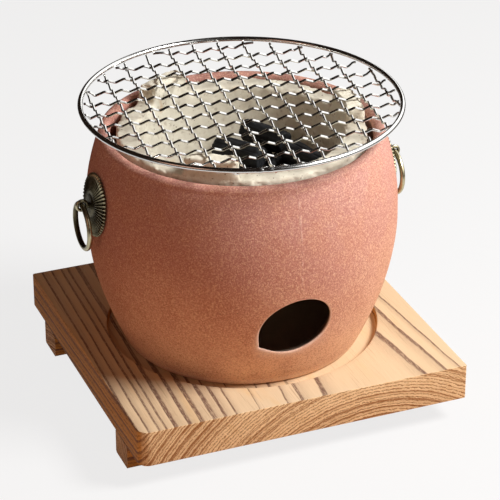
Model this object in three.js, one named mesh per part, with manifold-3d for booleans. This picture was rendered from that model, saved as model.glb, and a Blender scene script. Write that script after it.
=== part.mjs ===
// Table-top charcoal brazier: a clay pot with a fireclay liner and a round wire grill,
// standing in the turned recess of a square wooden tray.
// Millimetres, +Z up. Z = 0 is the surface under the tray; X = Y = 0 is the axis of the pot.
import * as THREE from 'three';
import { mergeVertices } from 'three/addons/utils/BufferGeometryUtils.js';
import Module from 'manifold-3d';

// ---------------------------------------------------------------- driving dimensions
const seatGap = 0.3;           // left between pieces that sit on or in each other

// Tray: a solid board on two battens
const traySide = 200;
const boardThick = 22;
const boardCornerR = 1.2;
const frontLeftR = 6.5;        // this one corner is rounded by hand
const boardEase = 0.6;
const recessR = 80.5;
const recessDepth = 5;
const recessEase = 1.5;
const battenWide = 20;
const battenTall = 14.5;
const battenInset = 23;        // from the tray's edge to the batten
const battenEase = 1;

// Countersunk wood screws, two up through each batten
const screwHeadR = 3.5;
const screwShankR = 1.75;
const screwLength = 28;
const screwInset = 30;         // from the end of the batten
const screwSunk = 1.5;         // depth of the head below the batten's underside

// Pot: a clay shell with a foot ring, an inner ledge and an oval air vent cut by hand
const footR = 69.5;
const footRingWide = 9;
const footRingTall = 2;
const bellyR = 90.7;
const bellyHeight = 78;        // above the foot, like every height on the pot
const lowerBulge = 1.85;       // how full the wall is below the belly
const upperBulge = 2.3;        // and above it
const rimR = 81;
const potHeight = 131;
const potWall = 7;
const potFloorThick = 9.5;
const ledgeHeight = 72.5;      // top of the ledge that carries the liner
const ledgeThick = 5.5;
const ledgeBore = 56;
const ventWide = 42.6;         // along the longer axis of the oval
const ventTall = 36.2;
const ventTurn = 15.5;         // degrees, the right end of the oval higher than the left
const ventX = -1.2;
const ventHeight = 44.4;
const ventFlare = 3.4;         // how much further out all round the hole is inside the wall

// Liner: a thick fireclay bowl let down through the mouth of the pot, with raised lugs
const mouthGap = 2;            // all round, between the liner and the pot's rim
const lipSunk = 0.5;           // how far the lip lies below the pot's rim
const lipThick = 13.5;
const lipEase = 1.5;
const linerBand = 16;          // straight outside below the lip
const linerFootR = 62;
const linerFloorThick = 12;
const linerFloorR = 45;
const lugCount = 3;
const lugTall = 11;
const lugWide = 30;
const lugTurn = -6;            // degrees from +X to the first lug
const lugEase = 1.2;

// Fire grate: a perforated iron disc let into the liner's floor
const grateR = 36;
const grateThick = 6;
const grateStep = 5;           // width of the step it lies on
const grateHoleR = 3.6;
const innerHoles = { count: 6, radius: 12.5 };
const outerHoles = { count: 10, radius: 25.5 };

// Charcoal: sticks broken to length, a lower layer on the grate and three laid across it
const stickR = 8.8;
const stickLength = 34;
const stickApart = 3;          // between two sticks of one row
const upperStickR = 7.7;
const upperStickLength = 32;
const stickSpread = 21.5;      // between the lower rows
const stickTurn = 25;          // degrees, heading of the lower rows
const heapX = 9.5;             // the heap lies off the middle, to the right
const stickChip = 1.2;         // worn edge round the broken ends

// Grill: a crimped woven net under a round ring
const ringR = 91.7;
const ringWire = 3.2;
const netPitch = 15.2;
const netWire = 1.2;
const netCrimp = 0.98;         // from the middle of the net to the middle of a crest
const netTurn = -6;            // degrees, the net against the tray
const netPhaseX = 0.65;        // first wire off the centre, in pitches
const netPhaseY = 0.58;
const netInset = 0.5;          // the wires end this far inside the middle of the ring

// Handles: a fluted rosette, an eye through the wall and a hanging ring
const handleHeight = 0.744 * potHeight;
const rosetteR = 18.4;
const rosetteDome = 3.2;
const rosetteThick = 0.9;
const fluteCount = 36;
const fluteDepth = 0.5;
const scallopDepth = 0.6;
const eyeR = 2.9;
const eyeWire = 2;
const shankR = 1.4;
const pinLegLong = 10;
const pinLegWide = 2.6;
const pinLegThick = 1.4;
const washerR = 6.5;
const washerThick = 1;
const handleR = 13;
const handleWire = 3.1;

// ---------------------------------------------------------------- places worked out from them
const trayTop = battenTall + boardThick;
const footZ = trayTop - recessDepth;
const rimZ = footZ + potHeight;
const linerZ = footZ + ledgeHeight + seatGap;
const lipZ = rimZ - lipSunk;
const linerR = rimR - potWall - mouthGap;
const linerInnerR = linerR - lipThick;
const fireFloorZ = linerZ + linerFloorThick;
const lugTopZ = lipZ + lugTall;
const netHalf = netCrimp + netWire / 2;
const netZ = lugTopZ + seatGap + netHalf;
const ringZ = netZ + netHalf + seatGap + ringWire / 2;

// ---------------------------------------------------------------- materials
const finish = (color, roughness, metalness = 0) =>
  new THREE.MeshStandardMaterial({ color, roughness, metalness });
const ash = finish(0xc99a66, 0.6);
const redClay = finish(0xb0685a, 0.9);
const fireclay = finish(0xd9cbb0, 0.95);
const iron = finish(0x2e2d2c, 0.7, 0.6);
const charcoal = finish(0x17181a, 0.95);
const steel = finish(0xb9bcc0, 0.25, 1);
const bronze = finish(0x6e5a38, 0.4, 0.9);
const zinc = finish(0x9a9c9e, 0.4, 0.9);

// ---------------------------------------------------------------- ways of making a solid
const wasm = await Module();
wasm.setup();
const radians = THREE.MathUtils.degToRad;
const series = (count, make) => Array.from({ length: count }, (_, i) => make(i));

// One closed surface: shared corners joined, empty faces dropped, faces turned outwards.
function closed(geometry) {
  const bare = geometry.clone();
  bare.deleteAttribute('normal');
  bare.deleteAttribute('uv');
  const merged = mergeVertices(bare);
  const faces = [];
  let volume = 0;
  for (let i = 0; i < merged.index.count; i += 3) {
    const [p, q, r] = [0, 1, 2].map((k) => merged.index.getX(i + k));
    if (p === q || q === r || r === p) continue;
    faces.push([p, q, r]);
    const [a, b, c] = [p, q, r]
      .map((k) => new THREE.Vector3().fromBufferAttribute(merged.attributes.position, k));
    volume += a.dot(b.cross(c)) / 6;
  }
  merged.setIndex(faces.flatMap(([p, q, r]) => (volume < 0 ? [p, r, q] : [p, q, r])));
  return merged;
}

function toSolid(geometry) {
  const shape = closed(geometry);
  return new wasm.Manifold(new wasm.Mesh({
    numProp: 3,
    vertProperties: new Float32Array(shape.attributes.position.array),
    triVerts: new Uint32Array(shape.index.array),
  }));
}

function toGeometry(solid) {
  const { vertProperties, triVerts, numProp } = solid.getMesh();
  const corners = vertProperties.length / numProp;
  const points = series(corners, (i) => vertProperties.slice(numProp * i, numProp * i + 3));
  return indexed(points, Array.from(triVerts));
}

function indexed(points, faces) {
  const geometry = new THREE.BufferGeometry();
  const flat = points.flatMap((point) => [...point]);
  geometry.setAttribute('position', new THREE.Float32BufferAttribute(flat, 3));
  geometry.setIndex(faces);
  return geometry;
}

const cut = (body, ...tools) =>
  toGeometry(tools.reduce((rest, tool) => rest.subtract(toSolid(tool)), toSolid(body)));
const join = (body, ...others) =>
  toGeometry(others.reduce((sum, other) => sum.add(toSolid(other)), toSolid(body)));

function piece(name, geometry, material) {
  const mesh = new THREE.Mesh(closed(geometry), material);
  mesh.name = name;
  return mesh;
}

// A profile of [radius, height] pairs turned round the Z axis.
const turned = (profile, segments) =>
  new THREE.LatheGeometry(profile.map(([r, z]) => new THREE.Vector2(r, z)), segments)
    .rotateX(Math.PI / 2);

// A round bar along the Z axis, from z0 to z1.
const bar = (radius, z0, z1, sides) =>
  new THREE.CylinderGeometry(radius, radius, z1 - z0, sides)
    .rotateX(Math.PI / 2).translate(0, 0, (z0 + z1) / 2);

// A flat plate along the Z axis, from z0 to z1, with its edges eased if asked.
const plate = (shape, z0, z1, ease = 0, easeSteps = 1, curveSegments = 6) =>
  new THREE.ExtrudeGeometry(shape, {
    depth: z1 - z0 - 2 * ease,
    curveSegments,
    bevelEnabled: ease > 0,
    bevelSize: ease,
    bevelThickness: ease,
    bevelOffset: -ease,
    bevelSegments: easeSteps,
  }).translate(0, 0, z0 + ease);

// Round wire bent to a closed ring about the Z axis.
function wireRing(radius, wire, steps, sides) {
  const section = series(sides + 1, (i) => {
    const turn = (2 * Math.PI * (i + 0.5)) / sides;
    return [radius + (wire / 2) * Math.cos(turn), (wire / 2) * Math.sin(turn)];
  });
  return turned(section, steps);
}

// Points on an arc about (x, y), from one angle to another in degrees.
const arc = (x, y, radius, from, to, steps) => series(steps + 1, (i) => {
  const turn = radians(from + ((to - from) * i) / steps);
  return [x + radius * Math.cos(turn), y + radius * Math.sin(turn)];
});

const outline = (points) => points.map(([x, y]) => new THREE.Vector2(x, y));
const roundOutline = (x, y, radius, sides) => outline(arc(x, y, radius, 0, 360, sides).slice(1));
const evenly = (from, to, steps) => series(steps + 1, (i) => from + ((to - from) * i) / steps);

// ---------------------------------------------------------------- tray
const battenFarY = traySide / 2 - battenInset;
const screwSpots = [-1, 1].flatMap((side) => [-1, 1].map((end) => ({
  side,
  x: end * (traySide / 2 - screwInset),
  y: side * (battenFarY - battenWide / 2),
})));

// A countersunk head, a shank and a point; the hole round it is larger all over by a gap.
function screwProfile(gap) {
  const headBase = screwSunk - gap;
  const coneTall = screwHeadR - screwShankR;
  const tipTall = 2 * screwShankR;
  return [
    [0, headBase],
    [screwHeadR + gap, headBase],
    [screwShankR + gap, headBase + coneTall + gap],
    [screwShankR + gap, screwSunk + screwLength - tipTall],
    [0, screwSunk + screwLength + gap],
  ];
}

function screwHole({ x, y }) {
  const [, head, ...rest] = screwProfile(seatGap);
  const below = [[0, -1], [head[0], -1]];
  return turned([...below, head, ...rest], 12).translate(x, y, 0);
}

function trayBoard() {
  const corners = [[1, 1, boardCornerR], [-1, 1, boardCornerR],
    [-1, -1, frontLeftR], [1, -1, boardCornerR]];
  const square = corners.flatMap(([x, y, radius], i) => {
    const centre = traySide / 2 - radius;
    return arc(x * centre, y * centre, radius, 90 * i, 90 * (i + 1), 5);
  });
  const board = plate(new THREE.Shape(outline(square)), battenTall, trayTop, boardEase, 2);
  const recess = turned([
    [0, footZ],
    ...arc(recessR - recessEase, footZ + recessEase, recessEase, -90, 0, 2),
    [recessR, trayTop - recessEase / 2],
    [recessR + recessEase / 2, trayTop],
    [recessR + recessEase / 2, trayTop + 1],
    [0, trayTop + 1],
  ], 60);
  return piece('tray_board', cut(board, recess, ...screwSpots.map(screwHole)), ash);
}

// Square above, against the board, and eased along its two lower edges.
function batten(name, side) {
  const nearY = battenFarY - battenWide;
  const section = new THREE.Shape(outline([
    [nearY, battenTall], [nearY, battenEase], [nearY + battenEase, 0],
    [battenFarY - battenEase, 0], [battenFarY, battenEase], [battenFarY, battenTall],
  ].map(([y, z]) => [side * y, z])));
  const stick = plate(section, -traySide / 2, traySide / 2)
    .rotateX(Math.PI / 2).rotateZ(Math.PI / 2);
  const holes = screwSpots.filter((spot) => spot.side === side).map(screwHole);
  return piece(name, cut(stick, ...holes), ash);
}

const battenScrew = ({ x, y }, i) =>
  piece(`batten_screw_${i + 1}`, turned(screwProfile(0), 12).translate(x, y, 0), zinc);

// ---------------------------------------------------------------- pot
// Radius of the outside of the pot at a height above its foot.
function potRadius(height) {
  const off = height - bellyHeight;
  if (off < 0) return bellyR - (bellyR - footR) * (-off / bellyHeight) ** lowerBulge;
  return bellyR - (bellyR - rimR) * (off / (potHeight - bellyHeight)) ** upperBulge;
}

// Where the axis of a handle leaves the wall, and how far the wall leans in there.
const seatR = potRadius(handleHeight);
const seatZ = footZ + handleHeight;
const wallLean = Math.atan((potRadius(handleHeight - 1) - potRadius(handleHeight + 1)) / 2);

// Turns a shape built along +X from the origin to stand square on the wall, left or right.
const onWall = (geometry, side) => geometry.rotateY(-wallLean)
  .rotateZ(side > 0 ? 0 : Math.PI).translate(side * seatR, 0, seatZ);

function potShell() {
  const rimRound = potWall / 2;
  const rimMid = potHeight - rimRound;
  const outside = (height) => [potRadius(height), height];
  const inside = (height) => [potRadius(height) - potWall, height];
  const shell = turned([
    [0, footRingTall],
    [footR - footRingWide, footRingTall],
    [footR - footRingWide + footRingTall, 0],
    [footR - footRingTall, 0],
    ...evenly(footRingTall / 2, rimMid, 10).map(outside),
    ...arc(potRadius(rimMid) - rimRound, rimMid, rimRound, 45, 135, 2),
    ...evenly(rimMid, ledgeHeight, 4).map(inside),
    [ledgeBore, ledgeHeight],
    [ledgeBore, ledgeHeight - ledgeThick],
    ...evenly(ledgeHeight - ledgeThick, potFloorThick, 4).map(inside),
    [0, potFloorThick],
  ], 48).translate(0, 0, footZ);
  const wallR = potRadius(ventHeight);
  const [wide, tall] = [ventWide / 2, ventTall / 2];
  const insideWide = (wide + ventFlare) / wide;
  const vent = turned([
    [0, ledgeBore / 2], [insideWide, ledgeBore / 2], [insideWide, wallR - potWall],
    [1, wallR], [1, bellyR + potWall], [0, bellyR + potWall],
  ], 28).scale(wide, tall, 1).rotateZ(radians(ventTurn)).rotateX(Math.PI / 2)
    .translate(ventX, 0, footZ + ventHeight);
  const pinHoles = [-1, 1].map((side) =>
    onWall(bar(shankR + seatGap, -2 * potWall, potWall, 12).rotateY(Math.PI / 2), side));
  return piece('pot_shell', cut(shell, vent, ...pinHoles), redClay);
}

// ---------------------------------------------------------------- liner and fire
function fireLiner() {
  const tall = lipZ - linerZ;
  const grateFloor = linerFloorThick - grateThick;
  const bowlTall = tall - lipEase - linerFloorThick;
  const bowl = (up) => [
    linerFloorR + (linerInnerR - linerFloorR) * Math.sqrt(up), linerFloorThick + up * bowlTall,
  ];
  const body = turned([
    [grateR - grateStep, 0],
    [linerFootR, 0],
    [linerR, tall - linerBand],
    [linerR, tall - lipEase],
    [linerR - lipEase, tall],
    [linerInnerR + lipEase, tall],
    ...evenly(1, 0, 5).map(bowl),
    [grateR + seatGap, linerFloorThick],
    [grateR + seatGap, grateFloor],
    [grateR - grateStep, grateFloor],
    [grateR - grateStep, 0],
  ], 48);
  const [lugIn, lugOut] = [linerInnerR + lipEase / 2, linerR - lipEase / 2];
  const lugHalfTurn = THREE.MathUtils.radToDeg(lugWide / (lugIn + lugOut));
  const lugs = series(lugCount, (i) => {
    const middle = lugTurn + (360 * i) / lugCount;
    const sector = outline([
      ...arc(0, 0, lugOut, middle - lugHalfTurn, middle + lugHalfTurn, 5),
      ...arc(0, 0, lugIn, middle + lugHalfTurn, middle - lugHalfTurn, 5),
    ]);
    return plate(new THREE.Shape(sector), tall - 3 * lugEase, tall + lugTall, lugEase);
  });
  return piece('fire_liner', join(body, ...lugs).translate(0, 0, linerZ), fireclay);
}

function fireGrate() {
  const disc = new THREE.Shape(roundOutline(0, 0, grateR, 40));
  for (const { count, radius } of [innerHoles, outerHoles]) {
    for (const [x, y] of arc(0, 0, radius, 0, 360, count).slice(1)) {
      disc.holes.push(new THREE.Path(roundOutline(x, y, grateHoleR, 8)));
    }
  }
  return piece('fire_grate', plate(disc, fireFloorZ - grateThick, fireFloorZ), iron);
}

// A charcoal stick: seven uneven sides and chipped ends, lying with its lowest edge at a height.
function charcoalStick(name, { radius, length, turn, x, y, base, roll }) {
  const sides = 7;
  const section = series(sides, (i) => {
    const angle = (2 * Math.PI * i) / sides;
    const reach = radius * (1 + 0.08 * Math.sin(2.3 * (i + 1) * (roll + 1)));
    return [reach * Math.cos(angle), reach * Math.sin(angle)];
  });
  const stick = plate(new THREE.Shape(outline(section)), -length / 2, length / 2, stickChip)
    .rotateZ(roll).rotateY(Math.PI / 2).rotateZ(radians(turn));
  stick.computeBoundingBox();
  return piece(name, stick.translate(x, y, base - stick.boundingBox.min.z), charcoal);
}

function charcoalHeap() {
  const along = new THREE.Vector2(Math.cos(radians(stickTurn)), Math.sin(radians(stickTurn)));
  const across = new THREE.Vector2(-along.y, along.x);
  const halfStep = stickLength / 2;
  const lower = [[0, 1], [-halfStep, 0], [halfStep, 0], [0, -1]]
    .map(([run, row], i) => charcoalStick(`charcoal_${i + 1}`, {
      radius: stickR,
      length: stickLength - stickApart,
      turn: stickTurn,
      x: heapX + run * along.x + row * stickSpread * across.x,
      y: run * along.y + row * stickSpread * across.y,
      base: fireFloorZ + seatGap,
      roll: i,
    }));
  const topOf = (stick) => {
    stick.geometry.computeBoundingBox();
    return stick.geometry.boundingBox.max.z;
  };
  // Each upper stick lies across two of the lower ones.
  const upper = [
    { x: 15, y: 24, turn: -62, over: [lower[0], lower[2]] },
    { x: -8, y: 8, turn: -55, over: [lower[0], lower[1]] },
    { x: 24, y: -15, turn: -75, over: [lower[2], lower[3]] },
  ].map(({ x, y, turn, over }, i) => charcoalStick(`charcoal_${lower.length + i + 1}`, {
    radius: upperStickR,
    length: upperStickLength,
    turn,
    x: heapX + x,
    y,
    base: Math.max(...over.map(topOf)) + seatGap,
    roll: i + 0.5,
  }));
  return [...lower, ...upper];
}

// ---------------------------------------------------------------- grill
// A wire of the net along the X axis. It rises and falls by turns at every third of a pitch,
// so that it is up at one crossing, down at the next, and crimped twice between.
function crimpedWire(offset, phase, firstUp) {
  const reach = Math.sqrt((ringR - netInset) ** 2 - offset ** 2);
  const step = netPitch / 3;
  const level = (s) => {
    const turns = (s - phase * netPitch) / step;
    const whole = Math.floor(turns);
    const side = whole % 2 === 0 ? firstUp : -firstUp;
    return side * netCrimp * (1 - 2 * (turns - whole));
  };
  const first = Math.ceil((-reach - phase * netPitch) / step);
  const bends = series(Math.ceil((2 * reach) / step), (i) => (phase * netPitch) + (first + i) * step)
    .filter((s) => Math.abs(s) < reach - netWire / 3);
  const half = netWire / 2;
  const rings = [-reach, ...bends, reach].map((s) =>
    [[-half, -half], [half, -half], [half, half], [-half, half]]
      .map(([y, z]) => [s, y + offset, z + level(s)]));
  const corners = rings[0].length;
  const faces = [0, 2, 1, 0, 3, 2];
  for (let ring = 0; ring < rings.length - 1; ring += 1) {
    for (let k = 0; k < corners; k += 1) {
      const [a, b] = [ring * corners + k, ring * corners + ((k + 1) % corners)];
      faces.push(a, b, b + corners, a, b + corners, a + corners);
    }
  }
  const last = (rings.length - 1) * corners;
  faces.push(last, last + 1, last + 2, last, last + 2, last + 3);
  return indexed(rings.flat(), faces);
}

// The places, in pitches, of all the wires of one direction that reach the ring.
function wirePlaces(phase) {
  const most = Math.floor((ringR - ringWire) / netPitch);
  return series(2 * most + 3, (i) => i - most - 1)
    .filter((i) => Math.abs(i + phase) * netPitch < ringR - 1.5 * ringWire);
}

function grill() {
  const alternate = (i) => (i % 2 === 0 ? 1 : -1);
  const rows = wirePlaces(netPhaseY).map((i) =>
    crimpedWire((i + netPhaseY) * netPitch, netPhaseX, alternate(i)));
  const columns = wirePlaces(netPhaseX).map((i) =>
    crimpedWire(-(i + netPhaseX) * netPitch, netPhaseY, -alternate(i)).rotateZ(Math.PI / 2));
  const place = (wire) => wire.rotateZ(radians(netTurn)).translate(0, 0, netZ);
  return [
    piece('grill_ring', wireRing(ringR, ringWire, 64, 8).translate(0, 0, ringZ), steel),
    ...rows.map((wire, i) => piece(`net_row_${i + 1}`, place(wire), steel)),
    ...columns.map((wire, i) => piece(`net_column_${i + 1}`, place(wire), steel)),
  ];
}

// ---------------------------------------------------------------- handles
// Distances along the handle's axis from the outside of the wall, outwards.
const wallDrop = seatR - Math.max(...[-1, 1].map((up) =>
  potRadius(handleHeight + up * rosetteR) + up * rosetteR * Math.tan(wallLean)));
const rosetteBase = seatGap - wallDrop * Math.cos(wallLean);
const rosetteTop = rosetteBase + rosetteThick + rosetteDome;
const eyeOut = rosetteTop + seatGap + eyeWire / 2 + eyeR;
const eyeX = seatR + eyeOut * Math.cos(wallLean);
const eyeZ = seatZ + eyeOut * Math.sin(wallLean);
const handleSlack = eyeR - eyeWire / 2 - handleWire / 2 - seatGap;

// A stamped dome: ridges and furrows run out from the middle to a scalloped edge.
function rosette(name, side) {
  const bore = shankR + seatGap;
  const rounds = evenly(bore, rosetteR, 3);
  const rays = series(2 * fluteCount, (j) => {
    const ridge = j % 2;
    const face = (r, lift) => {
      const out = (r - bore) / (rosetteR - bore);
      const radius = r - (1 - ridge) * scallopDepth * out ** 3;
      const height = rosetteBase + rosetteDome * (1 - out ** 2.2) + ridge * fluteDepth * out + lift;
      const turn = (Math.PI * j) / fluteCount;
      return [height, radius * Math.cos(turn), radius * Math.sin(turn)];
    };
    return [
      ...rounds.map((r) => face(r, rosetteThick)),
      ...rounds.toReversed().map((r) => face(r, 0)),
    ];
  });
  const around = rays[0].length;
  const faces = rays.flatMap((ray, j) => ray.flatMap((_, k) => {
    const next = (j + 1) % rays.length;
    const [a, b] = [j * around + k, j * around + ((k + 1) % around)];
    const [c, d] = [next * around + k, next * around + ((k + 1) % around)];
    return [a, b, d, a, d, c];
  }));
  return piece(name, onWall(indexed(rays.flat(), faces), side), bronze);
}

const washerSeat = potWall + washerR ** 2 / (2 * (seatR - potWall)) + seatGap;

function eyePin(name, side) {
  const loop = wireRing(eyeR, eyeWire, 16, 6).rotateX(Math.PI / 2).translate(eyeOut, 0, 0);
  const legBack = -(washerSeat + washerThick + seatGap);
  const shank = bar(shankR, legBack - pinLegThick / 2, eyeOut - eyeR, 12).rotateY(Math.PI / 2);
  const legEnd = pinLegLong - pinLegWide / 2;
  const legs = new THREE.Shape(outline([
    ...arc(legEnd, 0, pinLegWide / 2, -90, 90, 4),
    ...arc(-legEnd, 0, pinLegWide / 2, 90, 270, 4),
  ]));
  const opened = plate(legs, legBack - pinLegThick, legBack).rotateY(Math.PI / 2);
  return piece(name, onWall(join(loop, shank, opened), side), bronze);
}

function pinWasher(name, side) {
  const bore = shankR + seatGap;
  const [back, front] = [-washerSeat - washerThick, -washerSeat];
  const ring = turned([[bore, back], [washerR, back], [washerR, front], [bore, front], [bore, back]], 20);
  return piece(name, onWall(ring.rotateY(Math.PI / 2), side), zinc);
}

// The ring hangs upright in the eye, on the lower part of its hole.
function handleRing(name, side) {
  const ring = wireRing(handleR, handleWire, 28, 8).rotateY(Math.PI / 2);
  return piece(name, ring.translate(side * eyeX, 0, eyeZ - handleSlack - handleR), bronze);
}

// ---------------------------------------------------------------- the whole brazier
const tray = new THREE.Group();
tray.add(trayBoard(), batten('batten_front', -1), batten('batten_rear', 1));
tray.add(...screwSpots.map(battenScrew));

const pot = new THREE.Group();
pot.add(potShell());
for (const [name, side] of [['left', -1], ['right', 1]]) {
  pot.add(rosette(`rosette_${name}`, side), eyePin(`eye_pin_${name}`, side));
  pot.add(pinWasher(`pin_washer_${name}`, side), handleRing(`handle_ring_${name}`, side));
}

const fire = new THREE.Group();
fire.add(fireLiner(), fireGrate(), ...charcoalHeap());

const brazier = new THREE.Group();
brazier.add(tray, pot, fire, ...grill());

export default brazier;
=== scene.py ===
"""A small charcoal brazier of red clay, standing in the recess of a square wooden tray."""
import math

import bmesh
import bpy
import numpy as np
from mathutils import Matrix, Vector, noise


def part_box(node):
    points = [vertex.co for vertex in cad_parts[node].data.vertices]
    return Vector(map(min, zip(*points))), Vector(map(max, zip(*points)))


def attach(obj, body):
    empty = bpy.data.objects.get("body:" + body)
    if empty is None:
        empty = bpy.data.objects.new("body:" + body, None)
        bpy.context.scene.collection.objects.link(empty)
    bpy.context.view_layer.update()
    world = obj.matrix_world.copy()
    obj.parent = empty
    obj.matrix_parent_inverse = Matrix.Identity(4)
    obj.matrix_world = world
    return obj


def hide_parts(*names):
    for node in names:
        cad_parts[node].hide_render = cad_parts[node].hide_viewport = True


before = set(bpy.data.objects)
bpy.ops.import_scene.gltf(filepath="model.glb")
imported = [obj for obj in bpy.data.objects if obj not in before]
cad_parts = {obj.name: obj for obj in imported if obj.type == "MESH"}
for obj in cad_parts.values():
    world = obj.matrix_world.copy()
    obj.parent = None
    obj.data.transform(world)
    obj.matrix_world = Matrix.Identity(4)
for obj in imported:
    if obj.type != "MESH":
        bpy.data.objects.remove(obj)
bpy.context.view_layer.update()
collection = bpy.context.scene.collection

# ---------------------------------------------------------------- studio
# A long lens looks down on the brazier from its front left. The floor is pale and plain. One
# broad lamp stands high on the right, and two weak warm ones soften the shade from the left and
# the front.
camera_data = bpy.data.cameras.new("camera")
camera_data.lens = 162.9
camera_data.sensor_width = 36
camera_data.clip_end = 30
camera = bpy.data.objects.new("camera", camera_data)
camera.location = (-0.435, -1.095, 0.7035)
camera.rotation_euler = (math.radians(90 - 27.8), 0, math.radians(-21.9))
collection.objects.link(camera)
bpy.context.scene.camera = camera
bpy.context.scene.view_settings.view_transform = "Standard"


class Signal:
    """What a node gives. It adds, subtracts, multiplies and divides like a number."""

    def __init__(self, socket):
        self.socket = socket

    def __add__(self, other):
        return maths("ADD", self, other)

    def __sub__(self, other):
        return maths("SUBTRACT", self, other)

    def __rsub__(self, other):
        return maths("SUBTRACT", other, self)

    def __mul__(self, other):
        return maths("MULTIPLY", self, other)

    def __truediv__(self, other):
        return maths("DIVIDE", self, other)

    __radd__, __rmul__ = __add__, __mul__


def node(tree, kind, inputs=None, **settings):
    """A new node. Each input is a plain value or what another node gives."""
    made = tree.nodes.new(kind)
    for key, value in settings.items():
        setattr(made, key, value)
    for key, value in (inputs or {}).items():
        if isinstance(value, Signal):
            tree.links.new(value.socket, made.inputs[key])
        else:
            made.inputs[key].default_value = value
    return made


def add(tree, kind, inputs=None, output=0, **settings):
    """What a new node gives."""
    return Signal(node(tree, kind, inputs, **settings).outputs[output])


def all_of(made):
    """Everything that a node gives, by name."""
    return {socket.name: Signal(socket) for socket in made.outputs}


def tree_of(*values):
    """The node tree in which some values are given."""
    return next(value.socket.id_data for value in values if isinstance(value, Signal))


def maths(operation, *values, clamp=False):
    """What an operation gives for numbers and for what other nodes give."""
    return add(tree_of(*values), "ShaderNodeMath", dict(enumerate(values)), operation=operation,
               use_clamp=clamp)


def seen_directly(tree):
    """1 for rays from the camera, and for those that metal or glass turns aside."""
    path = all_of(node(tree, "ShaderNodeLightPath"))
    seen = maths("MAXIMUM", path["Is Camera Ray"], path["Is Glossy Ray"])
    return maths("MAXIMUM", seen, path["Is Transmission Ray"])


def lamp(name, azimuth, height, distance, size, watts, tint, in_metal=True):
    """A round lamp that faces the middle of the pot, seen in metal or not. Angles are in degrees."""
    data = bpy.data.lights.new(name, "AREA")
    data.shape = "DISK"
    data.size = size
    data.energy = watts
    data.color = tint
    made = bpy.data.objects.new(name, data)
    turn, lift = math.radians(azimuth), math.radians(height)
    away = Vector((math.cos(turn) * math.cos(lift), math.sin(turn) * math.cos(lift), math.sin(lift)))
    made.location = away * distance + Vector((0, 0, 0.09))
    made.rotation_euler = away.to_track_quat("Z", "Y").to_euler()
    made.visible_glossy = in_metal
    collection.objects.link(made)


lamp("key_lamp", azimuth=-35, height=46, distance=1.1, size=0.42, watts=17, tint=(1, 1, 1))
lamp("fill_lamp", azimuth=-150, height=25, distance=1.4, size=0.9, watts=1.5, tint=(1, 0.60, 0.45))
lamp("low_lamp", azimuth=-105, height=10, distance=1.4, size=0.9, watts=1.6, tint=(1, 0.68, 0.45),
     in_metal=False)

world = bpy.data.worlds.new("room")
bpy.context.scene.world = world
world.use_nodes = True
world.node_tree.nodes.clear()
air = world.node_tree
dim_room = add(air, "ShaderNodeBackground", {"Color": (1, 0.60, 0.42, 1), "Strength": 0.11})
mirrored = add(air, "ShaderNodeLightPath", output="Is Glossy Ray")
white_room = add(air, "ShaderNodeBackground", {"Color": (1, 1, 1, 1), "Strength": mirrored * 0.7 + 1.0})
room = add(air, "ShaderNodeMixShader", {0: seen_directly(air), 1: dim_room, 2: white_room})
node(air, "ShaderNodeOutputWorld", {"Surface": room})

floor_half = 4
floor_mesh = bpy.data.meshes.new("floor")
floor_mesh.from_pydata([(x * floor_half, y * floor_half, 0)
                        for x, y in ((-1, -1), (1, -1), (1, 1), (-1, 1))], [], [(0, 1, 2, 3)])
floor = bpy.data.objects.new("floor", floor_mesh)
collection.objects.link(floor)
floor_paint = bpy.data.materials.new("pale_floor")
floor_paint.use_nodes = True
floor_tree = floor_paint.node_tree
floor_tree.nodes.clear()
in_view = add(floor_tree, "ShaderNodeMix", {
    0: seen_directly(floor_tree), 6: (0.55, 0.33, 0.22, 1), 7: (0.6, 0.59, 0.58, 1)},
    output=2, data_type="RGBA")
chalk = add(floor_tree, "ShaderNodeBsdfDiffuse", {"Color": in_view})
glow = add(floor_tree, "ShaderNodeEmission", {"Color": (1, 1, 1, 1), "Strength": 1})
glow_share = seen_directly(floor_tree) * 0.8
floor_mix = add(floor_tree, "ShaderNodeMixShader", {0: glow_share, 1: chalk, 2: glow})
node(floor_tree, "ShaderNodeOutputMaterial", {"Surface": floor_mix})
floor_mesh.materials.append(floor_paint)

# A tent of dark felt stands round the set, open on the right, so that bright metal has dark
# edges and one broad highlight. Only metal sees it.
tent_radius = 2.2
tent_gap = (-70, 60)
tent_gap_top = 50
tent_foot = 0.45
tent_columns = 36
off_floor = 0.003


def on_circle(radius, turn, height=0.0):
    """The point at a bearing and a height on an upright circle about the middle of the pot."""
    return Vector((radius * math.cos(turn), radius * math.sin(turn), height))


tent_rings = [(tent_foot, off_floor)]
for lift in range(0, 91, 10):
    lift = math.radians(lift)
    tent_rings.append((tent_radius * math.cos(lift), tent_radius * math.sin(lift) + off_floor))
felt_points = [on_circle(radius, math.radians(turn), height) for radius, height in tent_rings
               for turn in range(-180, 180, 10)]
felt_faces = []
for row in range(10):
    for column, turn in enumerate(range(-180, 180, 10)):
        if not (tent_gap[0] <= turn < tent_gap[1] and 10 <= 10 * (row - 1) < tent_gap_top):
            low, beside = tent_columns * row + column, tent_columns * row + (column + 1) % tent_columns
            felt_faces.append((low, beside, beside + tent_columns, low + tent_columns))
felt_mesh = bpy.data.meshes.new("felt_tent")
felt_mesh.from_pydata(felt_points, [], felt_faces)
felt = bpy.data.objects.new("felt_tent", felt_mesh)
collection.objects.link(felt)
felt_paint = bpy.data.materials.new("dark_felt")
felt_paint.use_nodes = True
felt_shader = felt_paint.node_tree.nodes["Principled BSDF"]
felt_shader.inputs["Base Color"].default_value = (0.04, 0.03, 0.022, 1)
felt_shader.inputs["Roughness"].default_value = 1
felt_mesh.materials.append(felt_paint)
felt.visible_camera = felt.visible_diffuse = felt.visible_shadow = felt.visible_transmission = False

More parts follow.
